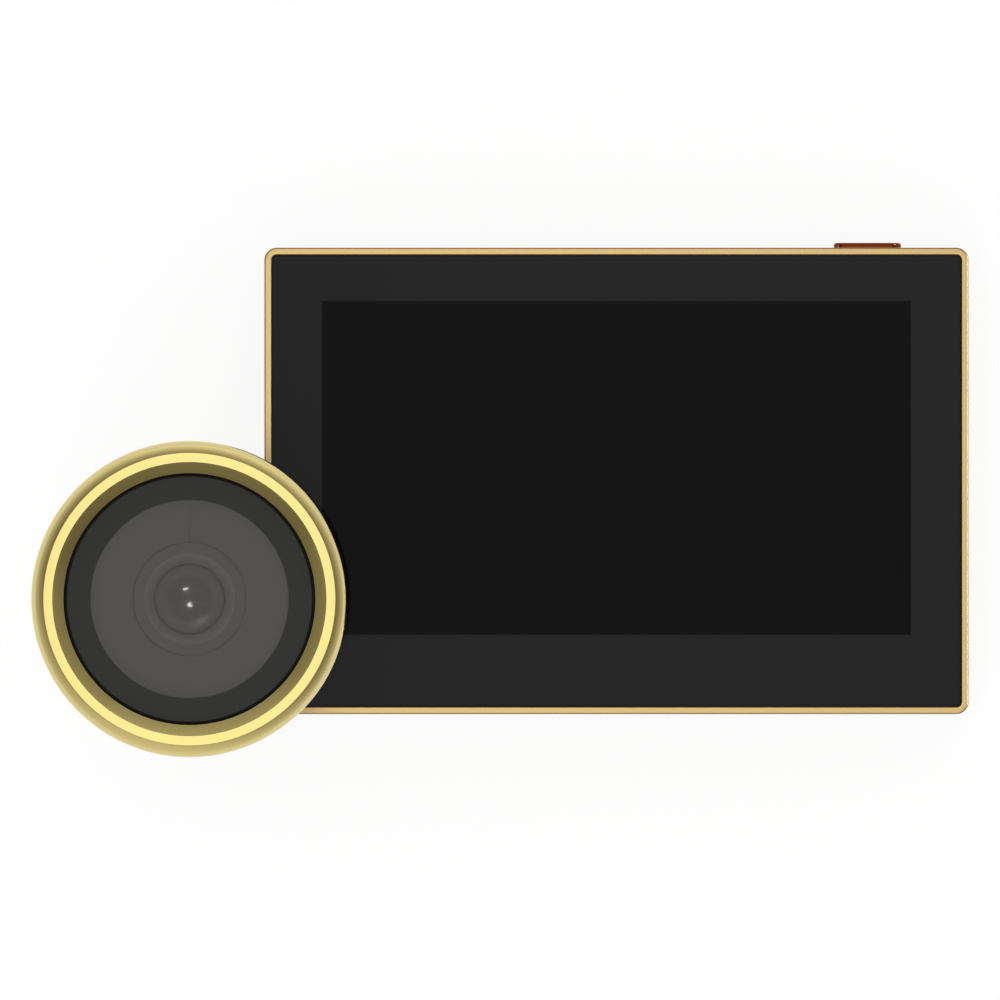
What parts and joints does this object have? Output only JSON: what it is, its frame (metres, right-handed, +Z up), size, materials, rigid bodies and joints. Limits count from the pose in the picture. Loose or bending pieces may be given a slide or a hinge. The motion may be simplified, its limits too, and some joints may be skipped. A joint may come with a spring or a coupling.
{
  "type": "peephole door camera",
  "caption": "Door viewer set: gold-framed indoor screen on a hook bracket, and a round outdoor camera in a gold bezel on a threaded barrel with a clamp nut.",
  "frame": {"origin": "on the surface that the set lies on, under the middle of its outline", "axes": "+X to the right of the screen, +Y to its top edge, +Z up, out of the screen and the lens"},
  "size_m": [0.1508, 0.0828, 0.0688],
  "materials": {
    "gold_satin_aluminium": "satin anodised",
    "gold_polished_metal": "polished",
    "cover_glass_black": "gloss",
    "window_glass": "gloss",
    "lens_glass": "coated",
    "black_moulded_plastic": "fine moulded grain",
    "grey_moulded_plastic": "satin",
    "copper_plated_plastic": "plated",
    "black_foam": "matte",
    "stamped_steel": "zinc plated",
    "circuit_board": "solder mask",
    "display_film": "matte film",
    "light_guide_acrylic": "clear",
    "battery_foil": "printed foil"
  },
  "bodies": {
    "camera_and_bracket": {"door_bracket": "stamped_steel", "bezel_ring": "gold_polished_metal", "window_gasket": "black_foam", "front_window": "window_glass", "window_mask": "black_moulded_plastic", "baffle_plate": "grey_moulded_plastic", "lens_ring": "grey_moulded_plastic", "front_lens": "lens_glass", "lens_barrel": "black_moulded_plastic", "rear_lens": "lens_glass", "lens_holder": "black_moulded_plastic", "image_sensor": "display_film", "sensor_board": "circuit_board", "sensor_socket": "grey_moulded_plastic", "sensor_board_screws": "stamped_steel", "camera_housing": "black_moulded_plastic", "door_pad": "black_foam", "threaded_barrel": "gold_polished_metal"},
    "monitor": {"front_frame": "gold_satin_aluminium", "cover_glass": "cover_glass_black", "glass_tape": "black_foam", "display_glass": "display_film", "light_guide": "light_guide_acrylic", "display_tray": "stamped_steel", "rear_cover": "black_moulded_plastic", "case_screws": "stamped_steel", "key_switch": "black_moulded_plastic", "main_board": "circuit_board", "main_board_screws": "stamped_steel", "shield_can": "stamped_steel", "camera_socket": "grey_moulded_plastic", "charging_socket": "stamped_steel", "card_socket": "stamped_steel", "battery_pack": "battery_foil", "battery_pad": "black_foam", "speaker": "black_moulded_plastic", "speaker_gasket": "black_foam"},
    "button": {"power_button": "copper_plated_plastic", "switch_plunger": "grey_moulded_plastic"},
    "washer": {"clamp_washer": "stamped_steel"},
    "nut": {"clamp_nut": "gold_polished_metal"}
  },
  "joints": [
    {"name": "monitor_lift", "type": "slide", "parent": "camera_and_bracket", "child": "monitor", "axis": [0, 1, 0], "range_m": [0, 0.006]},
    {"name": "button_press", "type": "slide", "parent": "monitor", "child": "button", "axis": [0, -1, 0], "range_m": [0, 0.0004], "stiffness_N_per_m": 800, "springref_m": -0.0015},
    {"name": "washer_slide", "type": "slide", "parent": "camera_and_bracket", "child": "washer", "axis": [0, 0, 1], "range_m": [0, 0.0201]},
    {"name": "nut_turn", "type": "hinge", "parent": "washer", "child": "nut", "pos_m": [-0.05, -0.01604, 0.005], "axis": [0, 0, 1], "range_deg": [0, 4800]}
  ],
  "couplings": [
    {"joint": "washer_slide", "follows": "nut_turn", "m_per_rad": 0.00023873}
  ]
}
